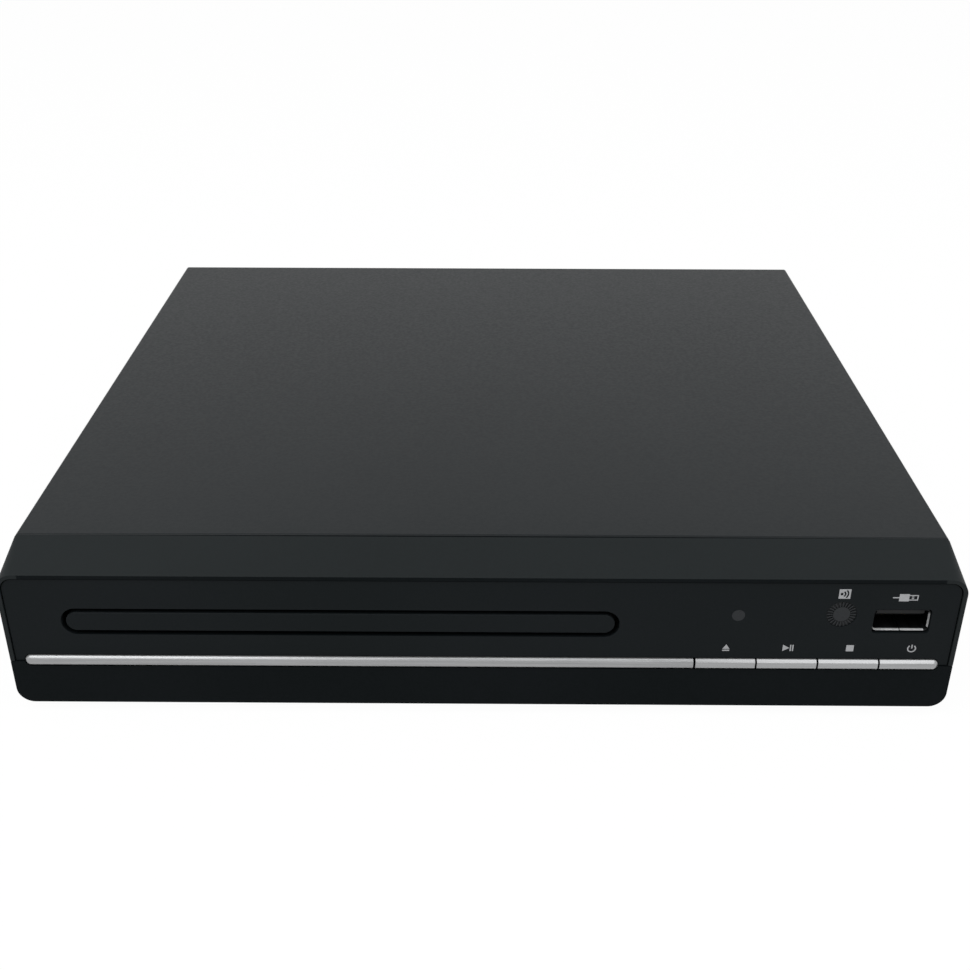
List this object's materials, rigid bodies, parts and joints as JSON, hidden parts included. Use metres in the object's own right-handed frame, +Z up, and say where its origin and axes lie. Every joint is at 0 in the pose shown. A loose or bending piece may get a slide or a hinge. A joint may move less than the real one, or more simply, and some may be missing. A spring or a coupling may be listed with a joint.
{
  "type": "disc player with tray",
  "caption": "Compact flat disc player: steel cover over a moulded front with a motor-driven disc tray, push buttons, a USB socket and rear sockets.",
  "frame": {"origin": "middle of the footprint, on the plane the feet stand on", "axes": "+X to the right seen from the front, +Y to the back, +Z up"},
  "size_m": [0.225, 0.2136, 0.0429],
  "materials": {
    "painted_steel": "satin painted steel",
    "hood_plastic": "satin moulded plastic",
    "face_plastic": "smooth moulded plastic",
    "skirt_plastic": "fine grained plastic",
    "silver_plastic": "silver painted plastic",
    "black_plastic": "moulded plastic",
    "window": "tinted lens plastic",
    "clear_lens": "clear moulded lens",
    "plated_steel": "nickel plated steel",
    "zinc_steel": "zinc plated sheet steel",
    "white_plastic": "natural acetal",
    "board": "solder mask over glass cloth",
    "paper_board": "phenolic board",
    "rubber": "moulded rubber",
    "copper_part": "taped winding and ferrite core",
    "can": "sleeved aluminium can",
    "aluminium": "extruded aluminium",
    "brass": "turned brass",
    "chip": "moulded epoxy",
    "jack_metal": "plated jack rings",
    "wire": "insulated wire",
    "ribbon": "flat cable"
  },
  "bodies": {
    "housing": {"front_skirt": "skirt_plastic", "front_hood": "hood_plastic", "fascia_plate": "face_plastic", "trim_strip": "silver_plastic", "switch_bodies": "black_plastic", "led_window": "window", "ir_window": "window", "status_led": "clear_lens", "ir_receiver": "chip", "usb_socket": "plated_steel", "usb_tongue": "white_plastic", "usb_board": "board", "front_board": "board", "top_cover": "painted_steel", "chassis": "zinc_steel", "rear_panel": "painted_steel", "feet": "rubber", "cover_screws": "plated_steel", "inner_screws": "brass", "loader_frame": "black_plastic", "clamp_bridge": "zinc_steel", "loading_motor": "plated_steel", "drive_belt": "rubber", "damper_bushes": "rubber", "main_board": "board", "board_chips": "chip", "power_board": "paper_board", "transformer": "copper_part", "capacitors": "can", "heat_sink": "aluminium", "scart_socket": "black_plastic", "video_socket": "plated_steel", "phono_jacks": "jack_metal", "mains_inlet": "black_plastic", "ribbon_cables": "ribbon", "mains_wires": "wire"},
    "tray": {"disc_tray": "black_plastic", "tray_door": "face_plastic"},
    "drive_gear_body": {"drive_gear": "white_plastic"},
    "pulley_gear_body": {"pulley_gear": "white_plastic"},
    "motor_pulley_body": {"motor_pulley": "brass"},
    "clamp": {"disc_clamp": "white_plastic"},
    "cam": {"cam_slider": "white_plastic"},
    "traverse": {"traverse_base": "zinc_steel", "guide_rods": "plated_steel", "spindle_motor": "zinc_steel", "sled_motor": "plated_steel"},
    "turntable_body": {"turntable": "black_plastic"},
    "sled": {"pickup_sled": "aluminium"},
    "lens": {"objective_lens": "clear_lens"},
    "sled_gear_body": {"sled_gear": "white_plastic"},
    "sled_pinion_body": {"sled_pinion": "brass"},
    "eject_key": {"eject_button": "silver_plastic"},
    "eject_contact": {"eject_plunger": "white_plastic"},
    "play_key": {"play_button": "silver_plastic"},
    "play_contact": {"play_plunger": "white_plastic"},
    "stop_key": {"stop_button": "silver_plastic"},
    "stop_contact": {"stop_plunger": "white_plastic"},
    "standby_key": {"standby_button": "silver_plastic"},
    "standby_contact": {"standby_plunger": "white_plastic"}
  },
  "joints": [
    {"name": "tray_slide", "type": "slide", "parent": "housing", "child": "tray", "axis": [0, -1, 0], "range_m": [0, 0.134]},
    {"name": "drive_gear_turn", "type": "hinge", "parent": "housing", "child": "drive_gear_body", "pos_m": [0.02, -0.08435, 0.02415], "axis": [0, 0, -1], "range_deg": [0, 1097.4]},
    {"name": "pulley_gear_turn", "type": "hinge", "parent": "housing", "child": "pulley_gear_body", "pos_m": [0.0008, -0.08435, 0.02115], "axis": [0, 0, 1], "range_deg": [0, 3292.11]},
    {"name": "motor_pulley_turn", "type": "hinge", "parent": "housing", "child": "motor_pulley_body", "pos_m": [-0.0277, -0.08435, 0.02115], "axis": [0, 0, 1], "range_deg": [0, 13826.7]},
    {"name": "cam_slide", "type": "slide", "parent": "housing", "child": "cam", "axis": [1, 0, 0], "range_m": [0, 0.02]},
    {"name": "traverse_tilt", "type": "hinge", "parent": "housing", "child": "traverse", "pos_m": [-0.03305, 0.05165, 0.018], "axis": [-1, 0, 0], "range_deg": [0, 5.01]},
    {"name": "turntable_spin", "type": "hinge", "parent": "traverse", "child": "turntable_body", "pos_m": [-0.03305, -0.03469, 0.01813], "axis": [0, -0.0872, 0.9962], "continuous": true},
    {"name": "clamp_spin", "type": "hinge", "parent": "housing", "child": "clamp", "pos_m": [-0.03305, -0.03435, 0.03295], "axis": [0, 0, 1], "continuous": true},
    {"name": "sled_slide", "type": "slide", "parent": "traverse", "child": "sled", "axis": [0, 0.9962, 0.0872], "range_m": [0, 0.034]},
    {"name": "sled_gear_turn", "type": "hinge", "parent": "traverse", "child": "sled_gear_body", "pos_m": [-0.00008, 0.00689, 0.01328], "axis": [0, 0.0872, -0.9962], "range_deg": [0, 541.45]},
    {"name": "sled_pinion_turn", "type": "hinge", "parent": "traverse", "child": "sled_pinion_body", "pos_m": [0.01292, 0.00689, 0.01328], "axis": [0, -0.0872, 0.9962], "range_deg": [0, 1804.71]},
    {"name": "lens_focus", "type": "slide", "parent": "sled", "child": "lens", "axis": [0, -0.0872, 0.9962], "range_m": [-0.0004, 0.0004], "stiffness_N_per_m": 50},
    {"name": "eject_press", "type": "slide", "parent": "housing", "child": "eject_key", "axis": [0, 1, 0], "range_m": [0, 0.0005], "stiffness_N_per_m": 600},
    {"name": "eject_contact_press", "type": "slide", "parent": "housing", "child": "eject_contact", "axis": [0, 1, 0], "range_m": [0, 0.00051]},
    {"name": "play_press", "type": "slide", "parent": "housing", "child": "play_key", "axis": [0, 1, 0], "range_m": [0, 0.0005], "stiffness_N_per_m": 600},
    {"name": "play_contact_press", "type": "slide", "parent": "housing", "child": "play_contact", "axis": [0, 1, 0], "range_m": [0, 0.00051]},
    {"name": "stop_press", "type": "slide", "parent": "housing", "child": "stop_key", "axis": [0, 1, 0], "range_m": [0, 0.0005], "stiffness_N_per_m": 600},
    {"name": "stop_contact_press", "type": "slide", "parent": "housing", "child": "stop_contact", "axis": [0, 1, 0], "range_m": [0, 0.00051]},
    {"name": "standby_press", "type": "slide", "parent": "housing", "child": "standby_key", "axis": [0, 1, 0], "range_m": [0, 0.0005], "stiffness_N_per_m": 600},
    {"name": "standby_contact_press", "type": "slide", "parent": "housing", "child": "standby_contact", "axis": [0, 1, 0], "range_m": [0, 0.00051]}
  ],
  "couplings": [
    {"joint": "drive_gear_turn", "follows": "tray_slide", "rad_per_m": 142.86},
    {"joint": "pulley_gear_turn", "follows": "tray_slide", "rad_per_m": 428.57},
    {"joint": "motor_pulley_turn", "follows": "tray_slide", "rad_per_m": 1800},
    {"joint": "traverse_tilt", "follows": "cam_slide", "rad_per_m": 4.3633},
    {"joint": "sled_gear_turn", "follows": "sled_slide", "rad_per_m": 277.78},
    {"joint": "sled_pinion_turn", "follows": "sled_slide", "rad_per_m": 925.93},
    {"joint": "eject_contact_press", "follows": "eject_press", "ratio": 1},
    {"joint": "play_contact_press", "follows": "play_press", "ratio": 1},
    {"joint": "stop_contact_press", "follows": "stop_press", "ratio": 1},
    {"joint": "standby_contact_press", "follows": "standby_press", "ratio": 1}
  ]
}
